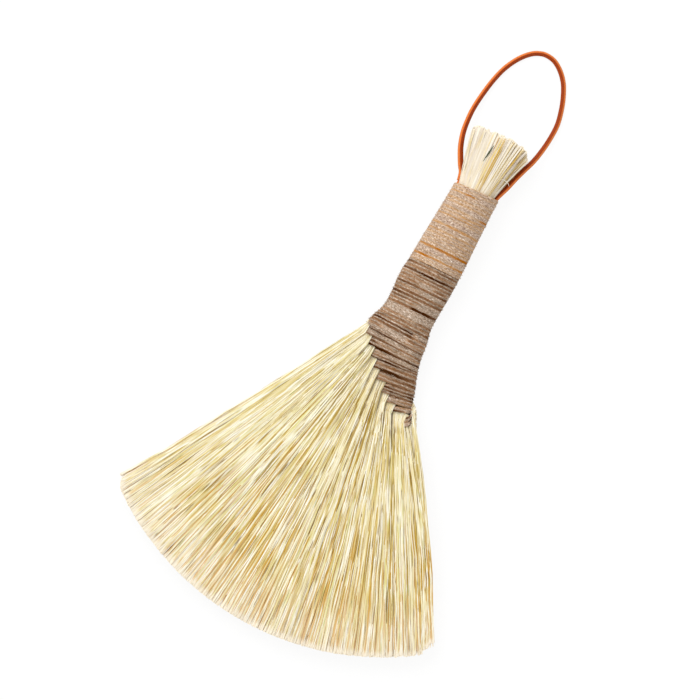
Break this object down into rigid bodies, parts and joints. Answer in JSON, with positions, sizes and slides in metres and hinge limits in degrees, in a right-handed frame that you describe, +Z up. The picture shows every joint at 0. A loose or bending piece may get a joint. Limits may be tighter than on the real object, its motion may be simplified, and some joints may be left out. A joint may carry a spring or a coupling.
{
  "type": "wing broom",
  "caption": "Hand-tied wing broom: straw fibre bundles bound with twine into a handle, spread into a flat fan, with a leather hanging loop.",
  "frame": {"origin": "on the surface that the broom lies on, in the middle of the flat underside of the fan's root", "axes": "+Y along the handle to the butt and its loop, -Y to the fan's arc, +X across the fan towards the staircase's tip, +Z up"},
  "size_m": [0.1963, 0.357, 0.0275],
  "materials": {
    "straw_fibre": "stiff natural fibre, satin",
    "bound_fibre": "stiff natural fibre, packed",
    "light_twine": "matte fuzzy twine, greyish beige",
    "dark_twine": "matte fuzzy twine, taupe",
    "leather": "vegetable-tanned lace, smooth outside, rough inside"
  },
  "bodies": {
    "broom": {"fan_bundle_01": "straw_fibre", "fan_bundle_02": "straw_fibre", "fan_bundle_03": "straw_fibre", "fan_bundle_04": "straw_fibre", "fan_bundle_05": "straw_fibre", "fan_bundle_06": "straw_fibre", "fan_bundle_07": "straw_fibre", "fan_bundle_08": "straw_fibre", "fan_bundle_09": "straw_fibre", "fan_bundle_10": "straw_fibre", "butt_tuft": "straw_fibre", "stalk_01": "bound_fibre", "stalk_02": "bound_fibre", "stalk_03": "bound_fibre", "stalk_04": "bound_fibre", "stalk_05": "bound_fibre", "stalk_06": "bound_fibre", "stalk_07": "bound_fibre", "stalk_08": "bound_fibre", "stalk_09": "bound_fibre", "stalk_10": "bound_fibre", "binding_light": "light_twine", "binding_dark": "dark_twine", "binding_steps": "dark_twine", "leather_tail_left": "leather", "leather_tail_right": "leather"},
    "loop": {"leather_loop": "leather"}
  },
  "joints": [
    {"name": "loop_swing", "type": "hinge", "parent": "broom", "child": "loop", "pos_m": [-0.0036, 0.1572, 0.01375], "axis": [1, 0, 0], "range_deg": [-80, 80], "stiffness_Nm_per_rad": 0.03}
  ]
}
